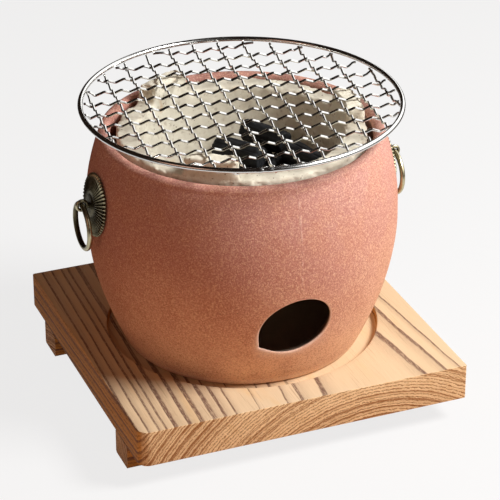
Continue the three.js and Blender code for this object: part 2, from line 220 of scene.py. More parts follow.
# ---------------------------------------------------------------- tray board
# One solid slab of ash with the grain from front to back, sawn beside the heart of the tree, so
# that the growth rings stand steep at the left and lie flat at the right. The round recess for
# the pot is turned into its top, all edges are eased by hand, and the wood is oiled.
MM = 0.001
board_low, board_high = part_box("tray_board")
board_half = board_high.x
board_corners = (1.2 * MM, 1.2 * MM, 6.5 * MM, 1.2 * MM)
board_ease = 0.6 * MM
recess_ease = 1.5 * MM
recess_lip_ease = 0.9 * MM
recess_radius = 80.5 * MM
recess_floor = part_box("pot_shell")[0].z
pith_across = 42 * MM
pith_height = -76 * MM
pith_sinks = 0.036
# The dark late wood of each year: its outer radius from the pith and its thickness, in mm.
late_bands = ((78.4, 1.0), (83.1, 1.3), (87.9, 1.1), (92.5, 1.2), (97.2, 1.0), (101.6, 1.3), (106.2, 0.9),
              (117.2, 0.85), (121.4, 0.95), (124.7, 0.55), (133.2, 0.4), (141.0, 0.8), (145.3, 1.4),
              (149.5, 2.0), (155.0, 2.2), (159.6, 1.8), (165.5, 2.1), (169.5, 1.2), (172.6, 1.2),
              (177.0, 1.0), (181.5, 1.2), (186.2, 1.0))


def material(name):
    """A new material, its shader, and the places and directions on the piece that wears it."""
    made = bpy.data.materials.new(name)
    made.use_nodes = True
    return made, made.node_tree.nodes["Principled BSDF"], all_of(node(made.node_tree, "ShaderNodeTexCoord"))


def mixed(share, first, second, blend="MIX"):
    """Two colours mixed by a share from 0 to 1."""
    first, second = (colour if isinstance(colour, Signal) else (*colour, 1) for colour in (first, second))
    return add(tree_of(share, first, second), "ShaderNodeMix", {0: share, 6: first, 7: second},
               output=2, data_type="RGBA", blend_type=blend)


def grown(value, low, high, top=1.0):
    """Rises smoothly from 0 to top as a value goes from low to high."""
    return add(tree_of(value), "ShaderNodeMapRange", {0: value, 1: low, 2: high, 3: 0.0, 4: top},
               interpolation_type="SMOOTHSTEP")


def grain_noise(vector, stretch, detail=2.0, roughness=0.5):
    """Noise from 0 to 1, with a stretch in features per metre, one for all axes or one for each."""
    stretch = stretch if isinstance(stretch, tuple) else (stretch, stretch, stretch)
    tree = tree_of(vector)
    scaled = add(tree, "ShaderNodeVectorMath", {0: vector, 1: stretch}, operation="MULTIPLY")
    return add(tree, "ShaderNodeTexNoise", {
        "Vector": scaled, "Scale": 1.0, "Detail": detail, "Roughness": roughness})


def axes(vector):
    """The three parts of a vector, by the names X, Y and Z."""
    return all_of(node(tree_of(vector), "ShaderNodeSeparateXYZ", {0: vector}))


def joined(tree, x=0.0, y=0.0, z=0.0):
    """A vector of three values."""
    return add(tree, "ShaderNodeCombineXYZ", {"X": x, "Y": y, "Z": z})


def stored(place, name):
    """What a mesh stores under a name at each place."""
    return add(tree_of(place), "ShaderNodeAttribute", output="Fac", attribute_name=name)


def finish(shader, colour, roughness, relief, strength, depth, specular=0.5, metallic=0.0):
    """Gives a shader its colour, its roughness and a fine relief of some depth."""
    tree = shader.id_data
    bump = add(tree, "ShaderNodeBump", {"Height": relief, "Strength": strength, "Distance": depth})
    for name, value in (("Base Color", colour), ("Roughness", roughness), ("Normal", bump),
                        ("Specular IOR Level", specular), ("Metallic", metallic)):
        if isinstance(value, Signal):
            tree.links.new(value.socket, shader.inputs[name])
        else:
            shader.inputs[name].default_value = value


def ash_wood(name, grain_axis):
    """Growth rings round a pith line along the grain axis, with pores, fibres and end grain."""
    made, shader, places = material(name)
    spot, facing = axes(places["Object"]), axes(places["Normal"])
    across, along = (spot["X"], spot["Y"]) if grain_axis == "Y" else (spot["Y"], spot["X"])
    here = joined(shader.id_data, across, along, spot["Z"])
    drift = grain_noise(here, (9, 2.2, 9), 2)
    waver = grain_noise(here, (70, 14, 70), 2)
    jagged = grain_noise(here, (600, 90, 600), 2)
    side = across - pith_across
    rise = spot["Z"] + (along * pith_sinks + (pith_sinks * board_half - pith_height))
    out = maths("SQRT", side * side + rise * rise)
    for noise_value, reach in ((drift, 2.4), (waver, 1.6), (jagged, 0.35)):
        out = out + (noise_value - 0.5) * (reach * MM)
    end = grown(maths("ABSOLUTE", facing["Y" if grain_axis == "Y" else "X"]), 0.55, 0.85)
    beside = grown(maths("ABSOLUTE", facing["X" if grain_axis == "Y" else "Y"]), 0.5, 0.9)
    late = 0.0
    for outside, thick in late_bands:
        depth = outside * MM - out
        dark = grown(depth, 1.25 * thick * MM, 0.7 * thick * MM)
        tan = grown(depth, 3.6 * thick * MM, 0.7 * thick * MM, 0.3)
        band = maths("MAXIMUM", dark, tan) * grown(depth, 0, 0.2 * MM)
        late = maths("MAXIMUM", late, band)
    strong = grown(grain_noise(here, (45, 7, 45), 2), 0.3, 0.55)
    late = late * (strong * 0.25 + 0.75)
    broken = grain_noise(here, (1100, 16, 1100), 3, 0.6)
    flecks = grain_noise(here, (1700, 260, 1700), 2, 0.6)
    late = maths("MULTIPLY", late, grown(broken, 0.20, 0.42), clamp=True)
    late = late * (grown(flecks, 0.35, 0.55) * 0.4 + 0.6)
    # The saw leaves the end grain open: fine pore lines follow the rings, with pale cells between.
    cells = grain_noise(here, 950, 2, 0.6)
    torn = grain_noise(here, 280, 3, 0.6) * (2.6 * MM) + out
    coarse, fine = (maths("ABSOLUTE", maths("FRACT", torn / (apart * MM)) - 0.5) for apart in (1.95, 0.85))
    pore_line = grown(coarse, 0.30, 0.42) * grown(cells, 0.30, 0.52)
    fine_line = grown(fine, 0.18, 0.40) * grown(cells, 0.40, 0.62)
    pore_line = maths("MULTIPLY_ADD", fine_line, 0.45, pore_line, clamp=True)
    pore_line = pore_line * maths("MAXIMUM", end, beside * 0.8)
    pores = grain_noise(here, (1500, 26, 1500), 2, 0.55)
    pores = grown(pores, 0.60, 0.72) * grown(drift, 0.62, 0.42)
    fibre = grain_noise(here, (2600, 60, 2600), 2)
    cloud = grain_noise(here, (22, 5, 22), 2)

    colour = mixed(cloud, (0.77, 0.59, 0.40), (0.67, 0.49, 0.285))
    honey = grain_noise(here, (70, 16, 70), 3, 0.6)
    colour = mixed(grown(honey, 0.50, 0.72, 0.5), colour, (0.76, 0.50, 0.24))
    # Side faces are painted more orange than the top: painted warm bounce light, as seen on the tray's
    # shaded left side.
    colour = mixed(beside, colour, (0.71, 0.38, 0.115))
    colour = mixed(end * 0.9, colour, (0.94, 0.69, 0.40))
    browned = grown(grain_noise(here, 190, 3, 0.6), 0.45, 0.70, 0.5)
    colour = mixed(browned * end, colour, (0.62, 0.39, 0.18))
    colour = mixed(grown(cells, 0.60, 0.72) * end, colour, (1.0, 0.86, 0.62))
    colour = mixed(pore_line * 0.85, colour, (0.28, 0.12, 0.04))
    latewood = mixed(end, (0.165, 0.085, 0.060), (0.30, 0.12, 0.035))
    colour = mixed(late * 0.98, colour, latewood)
    colour = mixed(pores * 0.4, colour, (0.33, 0.18, 0.10))
    shade = mixed(fibre, (0.92, 0.91, 0.90), (1.06, 1.06, 1.06))
    colour = mixed(1.0, colour, shade, "MULTIPLY")
    relief = fibre - pores * 1.2 - pore_line * 1.5
    finish(shader, colour, fibre * 0.2 + 0.55, relief, 0.35, 0.25 * MM, specular=0.12)
    return made


def shown(name, mesh):
    """A new object in the scene."""
    made = bpy.data.objects.new(name, mesh)
    collection.objects.link(made)
    return made


def smooth(mesh, sharp=35):
    """Smooth faces, apart from edges that turn more than an angle in degrees."""
    mesh.shade_smooth()
    mesh.set_sharp_from_angle(angle=math.radians(sharp))
    return mesh


def shaped(name, points, faces, sharp=35):
    mesh = bpy.data.meshes.new(name)
    mesh.from_pydata([tuple(point) for point in points], [], faces)
    mesh.validate()
    return shown(name, smooth(mesh, sharp))


def lofted(name, rings, closed=False, sharp=35):
    """Faces between rings of equally many points. Its ends are closed to their middle points."""
    count = len(rings[0])
    points = [point for ring in rings for point in ring]
    spans = len(rings) if closed else len(rings) - 1
    faces = []
    for span in range(spans):
        low, high = span * count, ((span + 1) % len(rings)) * count
        for i in range(count):
            j = (i + 1) % count
            faces.append((low + i, low + j, high + j, high + i))
    if not closed:
        for start, turn in ((0, -1), ((len(rings) - 1) * count, 1)):
            middle = sum((Vector(points[start + i]) for i in range(count)), Vector()) / count
            points.append(middle)
            for i in range(count):
                pair = (start + i, start + (i + 1) % count)[::turn]
                faces.append((*pair, len(points) - 1))
    return shaped(name, points, faces, sharp)


def square_ring(half, inset, z, side_steps=22, corner_steps=9):
    """Points round the board, from the middle of its right side on. Each corner has its own radius."""
    ring = []
    for quarter, corner in enumerate(board_corners):
        turned = Matrix.Rotation(quarter * math.pi / 2, 3, "Z")
        before, after = (half - radius + inset / 2 for radius in (board_corners[quarter - 1], corner))
        for i in range(-side_steps, side_steps + 1):
            reach = (before if i < 0 else after) * math.tan(math.pi / 4 * i / side_steps)
            ring.append(turned @ Vector((half - inset, reach, z)))
        round_off = half - inset - after
        for i in range(1, corner_steps):
            turn = math.pi / 2 * i / corner_steps
            ring.append(turned @ (Vector((after, after, z)) + on_circle(round_off, turn)))
    return ring


bearings = [math.atan2(point.y, point.x) for point in square_ring(board_half, 0, 0)]


def round_ring(radius, z, turns=bearings):
    return [on_circle(radius, turn, z) for turn in turns]


def quarter_turn(steps):
    return [math.pi / 2 * i / steps for i in range(steps + 1)]


def full_turn(steps):
    return [2 * math.pi * i / steps for i in range(steps)]


lower_edge = [square_ring(board_half, board_ease * (1 - math.sin(turn)),
                          board_low.z + board_ease * (1 - math.cos(turn))) for turn in quarter_turn(5)]
upper_edge = [square_ring(board_half, board_ease * (1 - math.cos(turn)),
                          board_high.z - board_ease * (1 - math.sin(turn))) for turn in quarter_turn(5)]
top_run = [round_ring(recess_radius + spare, board_high.z) for spare in (4 * MM, recess_lip_ease)]
recess_lip = [round_ring(recess_radius + recess_lip_ease * (1 - math.sin(turn)),
                         board_high.z - recess_lip_ease * (1 - math.cos(turn)))
              for turn in quarter_turn(4)[1:]]
recess_root = [round_ring(recess_radius - recess_ease * (1 - math.cos(turn)),
                          recess_floor + recess_ease * (1 - math.sin(turn))) for turn in quarter_turn(4)]
recess_flat = [round_ring(share * recess_radius, recess_floor) for share in (0.9, 0.6, 0.3)]
board = lofted("tray_board_wood", [*lower_edge, *upper_edge, *top_run, *recess_lip, *recess_root,
                                   *recess_flat])
board.data.materials.append(ash_wood("oiled_ash_board", "Y"))
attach(board, "tray")
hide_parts("tray_board")

# ---------------------------------------------------------------- battens and their screws
# Two straight sticks of the same ash, grain along their length, keep the board flat and let air
# pass under it. Each is fixed from below by two zinc-plated countersunk screws, cross recessed.
batten_wood = ash_wood("oiled_ash_batten", "X")
for batten in ("batten_front", "batten_rear"):
    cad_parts[batten].material_slots[0].material = batten_wood

screw_low, screw_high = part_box("batten_screw_1")
screw_head = (screw_high.x - screw_low.x) / 2
screw_shank = screw_head / 2
screw_inset_x = -(screw_low.x + screw_high.x) / 2
screw_inset_y = -(screw_low.y + screw_high.y) / 2
recess_wide = 0.9 * MM


def zinc_plate(name):
    made, shader, places = material(name)
    bloom = grain_noise(places["Object"], 700, 3)
    colour = mixed(bloom, (0.62, 0.63, 0.62), (0.42, 0.43, 0.45))
    finish(shader, colour, bloom * 0.25 + 0.25, bloom, 0.2, 0.1 * MM, metallic=1)
    return made


def plain_mesh(made, sharp=35):
    """Turns an object's modifiers into its mesh, and takes them off."""
    mesh = bpy.data.meshes.new_from_object(made.evaluated_get(bpy.context.evaluated_depsgraph_get()))
    made.modifiers.clear()
    made.data = smooth(mesh, sharp)
    return made


zinc = zinc_plate("zinc_plate")
screw_turns = full_turn(32)
screw_length = screw_high.z - screw_low.z
thread_pitch = 1.6 * MM
screw_profile = [(0.9 * screw_head, 0), (screw_head, 0.2 * MM), (screw_shank, screw_head - screw_shank)]
thread_start = screw_length * 0.35
for turn in range(int((screw_length * 0.55) / thread_pitch)):
    base = thread_start + turn * thread_pitch
    screw_profile += [(screw_shank * 0.8, base), (screw_shank, base + 0.5 * thread_pitch)]
screw_profile += [(screw_shank * 0.7, screw_length * 0.93), (0.15 * MM, screw_length)]
screw = lofted("screw_pattern", [round_ring(*point, screw_turns) for point in screw_profile], sharp=30)
cutters = []
for turn in (0, math.pi / 2):
    mesh = bpy.data.meshes.new("cross")
    cross = bmesh.new()
    bmesh.ops.create_cube(cross, size=1, matrix=Matrix.Rotation(turn + 0.4, 4, "Z")
                          @ Matrix.Diagonal((1.25 * screw_head, recess_wide, 2.4 * MM, 1)))
    cross.to_mesh(mesh)
    cutters.append(shown("cross", mesh))
    cut = screw.modifiers.new("cross", "BOOLEAN")
    cut.object = cutters[-1]
    cut.solver = "EXACT"
plain_mesh(screw)
for cutter in cutters:
    bpy.data.objects.remove(cutter)


def node_group(name, inputs):
    """A geometry tree and what its inputs give. An input has a number, or the kind of thing it takes."""
    tree = bpy.data.node_groups.new(name, "GeometryNodeTree")
    tree.interface.new_socket("Geometry", in_out="OUTPUT", socket_type="NodeSocketGeometry")
    for label, value in inputs.items():
        kind = value if isinstance(value, str) else {int: "Int", float: "Float"}[type(value)]
        made = tree.interface.new_socket(label, in_out="INPUT", socket_type="NodeSocket" + kind)
        if kind != value:
            made.default_value = value
    return tree, all_of(node(tree, "NodeGroupInput"))


def given_out(tree, geometry, finish):
    """Makes a tree's instances real, gives them their material, and hands them out."""
    real = add(tree, "GeometryNodeRealizeInstances", {0: geometry})
    dressed = add(tree, "GeometryNodeSetMaterial", {"Geometry": real, "Material": finish})
    node(tree, "NodeGroupOutput", {0: dressed})


def grown_by(tree, name, values):
    """An object whose mesh a node tree makes, with values given by the names of its inputs."""
    made = shown(name, bpy.data.meshes.new(name))
    modifier = made.modifiers.new(name, "NODES")
    modifier.node_group = tree
    for item in tree.interface.items_tree:
        if item.name in values:
            modifier[item.identifier] = values[item.name]
    return plain_mesh(made)


screw_tree, given = node_group("screws_in_battens", {
    "Apart X": 0.14, "Apart Y": 0.134, "Height": 0.0, "Screw": "Object", "Finish": "Material"})
spots = add(screw_tree, "GeometryNodeMeshGrid", {
    "Size X": given["Apart X"], "Size Y": given["Apart Y"], "Vertices X": 2, "Vertices Y": 2})
raised = add(screw_tree, "GeometryNodeTransform", {
    "Geometry": spots, "Translation": joined(screw_tree, z=given["Height"])})
pattern = add(screw_tree, "GeometryNodeObjectInfo", {"Object": given["Screw"]}, output="Geometry")
turned_by = add(screw_tree, "FunctionNodeRandomValue", {"Max": 3.0, "Seed": 5}, output="Value",
                data_type="FLOAT")
screwed_in = add(screw_tree, "GeometryNodeInstanceOnPoints", {
    "Points": raised, "Instance": pattern, "Rotation": joined(screw_tree, z=turned_by)})
given_out(screw_tree, screwed_in, given["Finish"])
screws = grown_by(screw_tree, "batten_screws", {
    "Apart X": 2 * screw_inset_x, "Apart Y": 2 * screw_inset_y, "Height": screw_low.z,
    "Screw": screw, "Finish": zinc})
bpy.data.objects.remove(screw)
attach(screws, "tray")
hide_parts(*(f"batten_screw_{i}" for i in range(1, 5)))

# ---------------------------------------------------------------- pot
# A shell of red earthenware pressed in a two-part mould, sandy and unglazed, with the seam of
# the mould still faint on its front and back. The rim is rounded and the air vent was cut by
# hand through the wet wall, so that it leans a little. Its edge is paler, partly from wear and
# partly as a painted highlight on the eased lip.
pot_low, pot_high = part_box("pot_shell")
foot_radius = 69.5 * MM
belly_radius = 90.7 * MM
belly_height = 78 * MM
lower_bulge, upper_bulge = 1.85, 2.3
rim_radius = 81 * MM
pot_height = pot_high.z - pot_low.z
pot_wall = 7 * MM
foot_ring = 9 * MM
foot_hollow = 2 * MM
floor_thick = 9.5 * MM
ledge_height = 72.5 * MM
ledge_under = 67 * MM
ledge_bore = 56 * MM
ledge_ease = 1 * MM
foot_ease = 2 * MM
inner_patch_low = 16 * MM
vent_half_wide = 21.3 * MM
vent_half_tall = 18.1 * MM
vent_middle = Vector((-1.2 * MM, 44.4 * MM))
vent_tilt = math.radians(15.5)
vent_flare = 3 * MM
vent_ease = 0.8 * MM
vent_point_turn = math.radians(-161)
vent_point_out = 0.13
vent_point_spread = 0.22
vent_lip_turn = math.radians(-120)
vent_lip_wider = 1.9
pot_columns = 384
patch_columns = 21
patch_low, patch_high = 19 * MM, 70 * MM
patch_rows = 32


def pot_radius(height):
    """Radius outside, at a height above the foot."""
    off = height - belly_height
    if off < 0:
        return belly_radius - (belly_radius - foot_radius) * (-off / belly_height) ** lower_bulge
    return belly_radius - (belly_radius - rim_radius) * (off / (pot_height - belly_height)) ** upper_bulge


def inside_wall(heights):
    return [(pot_radius(height) - pot_wall, height) for height in heights]


def evenly(start, end, steps):
    return [start + (end - start) * i / steps for i in range(steps + 1)]


rim_round = pot_wall / 2
rim_middle = pot_height - rim_round
rim_centre = pot_radius(rim_middle) - rim_round
outer_rows = evenly(foot_ease, patch_low, 10) + evenly(patch_low, patch_high, patch_rows)[1:] \
    + evenly(patch_high, rim_middle, 40)[1:]
inner_patch = evenly(inner_patch_low, ledge_under, patch_rows)
profile = [(0.3 * foot_radius, foot_hollow), (foot_radius - foot_ring, foot_hollow)]
profile += [(foot_radius - foot_ring + foot_hollow * share, foot_hollow * (1 - share))
            for share in (0.5, 1)]
profile += [(foot_radius + foot_ease * (math.sin(turn) - 1) + 0.3 * MM, foot_ease * (1 - math.cos(turn)))
            for turn in quarter_turn(4)[:-1]]
outer_start = len(profile)
profile += [(pot_radius(height), height) for height in outer_rows]
profile += [(rim_centre + rim_round * math.cos(math.radians(turn)),
             rim_middle + rim_round * math.sin(math.radians(turn))) for turn in range(12, 180, 12)]
profile += inside_wall(evenly(rim_middle, ledge_height + 2 * MM, 24))
profile += [(pot_radius(ledge_height) - pot_wall - 1.5 * MM, ledge_height + 0.3 * MM),
            (ledge_bore + ledge_ease, ledge_height), (ledge_bore, ledge_height - ledge_ease),
            (ledge_bore, ledge_under + ledge_ease), (ledge_bore + ledge_ease, ledge_under)]
inner_start = len(profile)
profile += inside_wall(inner_patch[::-1])
profile += inside_wall(evenly(inner_patch[0], floor_thick + 3 * MM, 3)[1:])
profile += [(pot_radius(floor_thick) - pot_wall - 3 * MM, floor_thick), (0.3 * foot_radius, floor_thick)]


def on_pot(x, height, radius):
    """The point at a sideways place and a height on the front of a round wall."""
    return Vector((x, -math.sqrt(radius ** 2 - x ** 2), height))


def vent_point(turn, spare=0.0):
    """Sideways place and height of a point round the vent, a little outside its edge."""
    off = (turn - vent_point_turn + math.pi) % (2 * math.pi) - math.pi
    pointed = 1 + vent_point_out * math.exp(-abs(off) / vent_point_spread)
    if spare <= vent_ease:
        spare *= 1 + vent_lip_wider * max(0, math.cos(turn - vent_lip_turn))
    x = (vent_half_wide * pointed + spare) * math.cos(turn)
    height = (vent_half_tall * pointed + spare) * math.sin(turn)
    lean = Matrix.Rotation(vent_tilt, 2)
    return lean @ Vector((x, height)) + vent_middle


pot_mesh = bmesh.new()
worn = pot_mesh.verts.layers.float.new("worn")
sooty = pot_mesh.verts.layers.float.new("sooty")
outer_patch = range(outer_start + 10, outer_start + 10 + patch_rows + 1)
inner_patch_rows = range(inner_start, inner_start + patch_rows + 1)


def in_patch(row, column):
    """Whether a grid point lies inside one of the two stretches that the vent goes through."""
    near = min(column, pot_columns - column) < patch_columns
    return near and any(rows[0] < row < rows[-1] for rows in (outer_patch, inner_patch_rows))


grid = []
for row, (radius, height) in enumerate(profile):
    ring = []
    for column, turn in enumerate(full_turn(pot_columns)):
        spot = on_circle(radius, turn - math.pi / 2, height)
        ring.append(None if in_patch(row, column) else pot_mesh.verts.new(spot))
    grid.append(ring)
for row in range(len(profile) - 1):
    for column in range(pot_columns):
        beside = (column + 1) % pot_columns
        corners = [grid[row][column], grid[row][beside], grid[row + 1][beside], grid[row + 1][column]]
        cut_away = any(rows[0] <= row < rows[-1] for rows in (outer_patch, inner_patch_rows)) and \
            (column < patch_columns or column >= pot_columns - patch_columns)
        if not cut_away:
            pot_mesh.faces.new(corners)
for ring, height in ((grid[0], foot_hollow), (grid[-1], floor_thick)):
    hub = pot_mesh.verts.new((0, 0, height))
    for column in range(pot_columns):
        pot_mesh.faces.new((ring[column], ring[(column + 1) % pot_columns], hub))


def patch_edge(rows):
    """The grid points round a patch, from its lower left corner and back to it."""
    columns = [column % pot_columns for column in range(-patch_columns, patch_columns + 1)]
    low, high = (rows[0], rows[-1]) if profile[rows[0]][1] < profile[rows[-1]][1] else (rows[-1], rows[0])
    upward = list(range(low, high, 1 if high > low else -1))
    edge = [grid[low][column] for column in columns[:-1]]
    edge += [grid[row][columns[-1]] for row in upward]
    edge += [grid[high][column] for column in columns[:0:-1]]
    edge += [grid[row][columns[0]] for row in [high, *upward[:0:-1]]]
    return edge


def bridged(first, second):
    for i in range(len(first)):
        j = (i + 1) % len(first)
        pot_mesh.faces.new((first[i], first[j], second[j], second[i]))


outer_edge = patch_edge(outer_patch)
inner_edge = patch_edge(inner_patch_rows)
vent_turns = []
for vertex in outer_edge:
    off = Matrix.Rotation(-vent_tilt, 2) @ (Vector((vertex.co.x, vertex.co.z)) - vent_middle)
    vent_turns.append(math.atan2(off.y / vent_half_tall, off.x / vent_half_wide))


def ring_on_wall(edge, share, thick, spare):
    """A ring part of the way from the patch's edge to the vent, on the wall's outside or inside."""
    ring = []
    for vertex, turn in zip(edge, vent_turns):
        flat = Vector((vertex.co.x, vertex.co.z)).lerp(vent_point(turn, spare), share)
        ring.append(pot_mesh.verts.new(on_pot(flat.x, flat.y, pot_radius(flat.y) - thick)))
    return ring


def ring_in_bore(spare, thick, depth):
    """A ring round the vent, some way into the wall."""
    ring = []
    for turn in vent_turns:
        flat = vent_point(turn, spare)
        spot = on_pot(flat.x, flat.y, pot_radius(flat.y) - thick) + Vector((0, depth, 0))
        ring.append(pot_mesh.verts.new(spot))
    return ring


def eased(steps):
    """Shares of the way to an end, closer together towards it."""
    return [math.sin(math.pi / 2 * i / steps) for i in range(1, steps + 1)]


rings = [outer_edge] + [ring_on_wall(outer_edge, share, 0, vent_ease) for share in eased(10)]
lip = [ring_in_bore(vent_ease * (1 - math.sin(turn)), 0, vent_ease * (1 - math.cos(turn)))
       for turn in quarter_turn(5)[1:]]
rings += lip
rings.append(ring_in_bore(vent_flare / 2, pot_wall / 2, 0))
inner_ease = 0.5 * MM
rings += [ring_in_bore(vent_flare + inner_ease * (1 - math.cos(turn)), pot_wall,
                       -inner_ease * (1 - math.sin(turn))) for turn in quarter_turn(3)]
rings += [ring_on_wall(inner_edge, share, pot_wall, vent_flare + inner_ease) for share in eased(8)[-2::-1]]
rings.append(inner_edge)
for first, second in zip(rings, rings[1:]):
    bridged(first, second)
# The vent's edge and eased lip, widest at the lower left, are marked pale: partly wear and partly a painted
# highlight. The eased foot is marked paler from wear.
for ring in [rings[10], *lip]:
    for vertex in ring:
        vertex[worn] = 1.0
for ring, share in zip(rings[3:10], evenly(0.1, 1.0, 6)):
    for vertex, turn in zip(ring, vent_turns):
        vertex[worn] = share * max(0, math.cos(turn - vent_lip_turn))
for row in range(outer_start - 4, outer_start + 2):
    for vertex in grid[row]:
        vertex[worn] = 0.5
# Inside the chamber and deep in the vent's bore the clay is painted near black: partly real soot and partly
# painted shade of the closed chamber.
chamber = [vertex for ring in grid[inner_start:] for vertex in ring if vertex]
for vertex in chamber + [vertex for ring in rings[len(lip) + 11:-1] for vertex in ring]:
    vertex[sooty] = 1.0
bmesh.ops.recalc_face_normals(pot_mesh, faces=pot_mesh.faces)
pot_mesh.verts.ensure_lookup_table()
for vertex in pot_mesh.verts:
    waver = noise.noise(vertex.co * 70) * 0.16 * MM + noise.noise(vertex.co * 260) * 0.05 * MM
    flat = Vector((vertex.co.x, vertex.co.y, 0))
    vertex.co += flat.normalized() * waver + Vector((0, 0, pot_low.z))
pot_data = bpy.data.meshes.new("pot_clay")
pot_mesh.to_mesh(pot_data)
pot_mesh.free()
pot = shown("pot_clay", smooth(pot_data, 40))

terracotta, shader, places = material("red_earthenware")
coordinates = places["Object"]
spot = axes(coordinates)
# The clay runs from orange-tan at the foot to dusky red at the rim. The lighter foot is partly the clay's
# own tone and partly painted light bounced up from the tray.
level = (spot["Z"] - pot_low.z) / pot_height
smoke = grain_noise(coordinates, (16, 16, 13), 3)
level = level + smoke * 0.5 - 0.25
body = add(shader.id_data, "ShaderNodeValToRGB", {0: level})
ramp = body.socket.node.color_ramp
for place, tint in ((0.0, (1.0, 0.66, 0.43, 1)), (0.3, (0.76, 0.425, 0.285, 1)),
                    (0.62, (0.55, 0.26, 0.21, 1)), (1.0, (0.52, 0.26, 0.23, 1))):
    stop = ramp.elements[-int(place)] if place in (0, 1) else ramp.elements.new(place)
    stop.position, stop.color = place, tint
patches = grain_noise(coordinates, (55, 55, 45), 4, 0.6)
colour = mixed(grown(patches, 0.40, 0.70, 0.5), body, (0.58, 0.27, 0.18))
# The right side, where the key lamp falls, is painted paler and cooler: painted light.
painted_lit_side = grown(spot["X"] + smoke * 30 * MM, -25 * MM, 85 * MM)
colour = mixed(1.0, colour, mixed(painted_lit_side, (0.96, 0.89, 0.89), (1.05, 1.10, 1.12)), "MULTIPLY")
coarse = grain_noise(coordinates, 1000, 2, 0.6)
fine = grain_noise(coordinates, 2300, 2, 0.6)
sandy = grown(level, 0.75, 0.25) * 0.35 + 0.42
colour = mixed(grown(coarse, 0.50, 0.64) * sandy, colour, (0.90, 0.62, 0.40))
colour = mixed(grown(coarse, 0.50, 0.36, 0.48), colour, (0.42, 0.17, 0.12))
colour = mixed(grown(fine, 0.54, 0.68, 0.5), colour, (0.92, 0.66, 0.50))
colour = mixed(grown(fine, 0.46, 0.32, 0.5), colour, (0.36, 0.14, 0.10))
dots = grain_noise(coordinates, 420, 1)
colour = mixed(grown(dots, 0.78, 0.82, 0.6), colour, (0.20, 0.08, 0.06))
grains = coarse + fine * 0.7
# Pale where the mesh marks wear and painted highlight, broken up by the patches.
wear_and_highlight_share = stored(coordinates, "worn") * grown(patches, 0.1, 0.6)
colour = mixed(wear_and_highlight_share * 0.72, colour, (0.88, 0.67, 0.57))
beside_seam = maths("ABSOLUTE", spot["X"] + smoke * 2 * MM - 1 * MM)
seam = 1.0 - grown(beside_seam, 0.25 * MM, 0.8 * MM)
seam = seam * grown(grain_noise(coordinates, 200, 3), 0.42, 0.62)
seam = seam * grown(spot["Z"], 96 * MM, 110 * MM)
colour = mixed(seam * 0.32, colour, (0.85, 0.62, 0.52))
# Near black inside, partly soot and partly painted shade, with grey ash low on the chamber's floor.
soot_and_shade_colour = mixed(patches, (0.030, 0.022, 0.017), (0.085, 0.060, 0.045))
ashes = grown(spot["Z"], pot_low.z + 26 * MM, pot_low.z + 10 * MM) * 0.9
soot_and_shade_colour = mixed(ashes, soot_and_shade_colour, (0.52, 0.44, 0.36))
colour = mixed(stored(coordinates, "sooty") * 0.94, colour, soot_and_shade_colour)
finish(shader, colour, 0.92, grains + seam * 0.7, 0.6, 0.3 * MM, specular=0.08)
pot_data.materials.append(terracotta)
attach(pot, "stove")
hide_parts("pot_shell")

# ---------------------------------------------------------------- fireclay liner
# A thick bowl of coarse cream fireclay, let down through the mouth of the pot on to its ledge.
# Three raised lugs on the lip carry the grill. The soft clay is chipped along every edge and pale
# on the lip. Further down inside the bowl it is browner, partly fire stain and partly painted
# shade, and the outer band has brown blotches, partly stain and partly painted shade.
liner_low, liner_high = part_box("fire_liner")
liner_radius = liner_high.x
lip_thick = 13.5 * MM
lip_ease = 1.5 * MM
chip_depth = 1.5 * MM
lug_tall = 11 * MM
lug_half_wide = 15 * MM
lug_bearings = [math.radians(turn) for turn in (-6, 114, 234)]
lip_top = liner_high.z - lug_tall
grate_low, grate_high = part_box("fire_grate")
grate_radius = grate_high.x
fire_floor = grate_high.z
liner_foot = 62 * MM
bowl_floor = 45 * MM
bowl_mouth = liner_radius - lip_thick
band_tall = 16 * MM
bowl_tall = lip_top - lip_ease - fire_floor
liner_turns = full_turn(200)
liner_profile = [(grate_radius - 5 * MM, liner_low.z), (liner_foot, liner_low.z),
                 (liner_radius, lip_top - band_tall), (liner_radius, lip_top - lip_ease),
                 (liner_radius - lip_ease / 3, lip_top - lip_ease / 3), (liner_radius - lip_ease, lip_top),
                 (bowl_mouth + lip_ease, lip_top), (bowl_mouth + lip_ease / 3, lip_top - lip_ease / 3)]
liner_profile += [(bowl_floor + (bowl_mouth - bowl_floor) * math.sqrt(up), fire_floor + bowl_tall * up)
                  for up in evenly(1, 0, 12)]
liner_profile += [(grate_radius + 0.3 * MM, fire_floor), (grate_radius + 0.3 * MM, grate_low.z),
                  (grate_radius - 5 * MM, grate_low.z)]
liner = lofted("liner_fireclay", [round_ring(*point, liner_turns) for point in liner_profile], closed=True)
whole = bmesh.new()
whole.from_mesh(liner.data)
for bearing in lug_bearings:
    half_turn = lug_half_wide / (liner_radius - lip_thick / 2)
    levels = ((lip_top - 5 * MM, 0.0), (lip_top, 0.0), (liner_high.z - 1.2 * MM, 0.5 * MM),
              (liner_high.z, 1.3 * MM))
    block = []
    for height, draw in levels:
        inner, outer = bowl_mouth + 0.7 * MM + draw, liner_radius - 0.7 * MM - draw
        spread = half_turn - draw / inner
        arc_out = [(outer, bearing + spread * share) for share in evenly(-1, 1, 10)]
        arc_in = [(inner, bearing + spread * share) for share in evenly(1, -1, 10)]
        block.append([whole.verts.new(on_circle(*point, height)) for point in arc_out + arc_in])
    for low, high in zip(block, block[1:]):
        for i in range(len(low)):
            j = (i + 1) % len(low)
            whole.faces.new((low[i], low[j], high[j], high[i]))
    whole.faces.new(block[0][::-1])
    whole.faces.new(block[-1])
whole.to_mesh(liner.data)
whole.free()
fused = liner.modifiers.new("fused", "REMESH")
fused.mode = "VOXEL"
fused.voxel_size = 0.95 * MM
plain_mesh(liner, sharp=180)


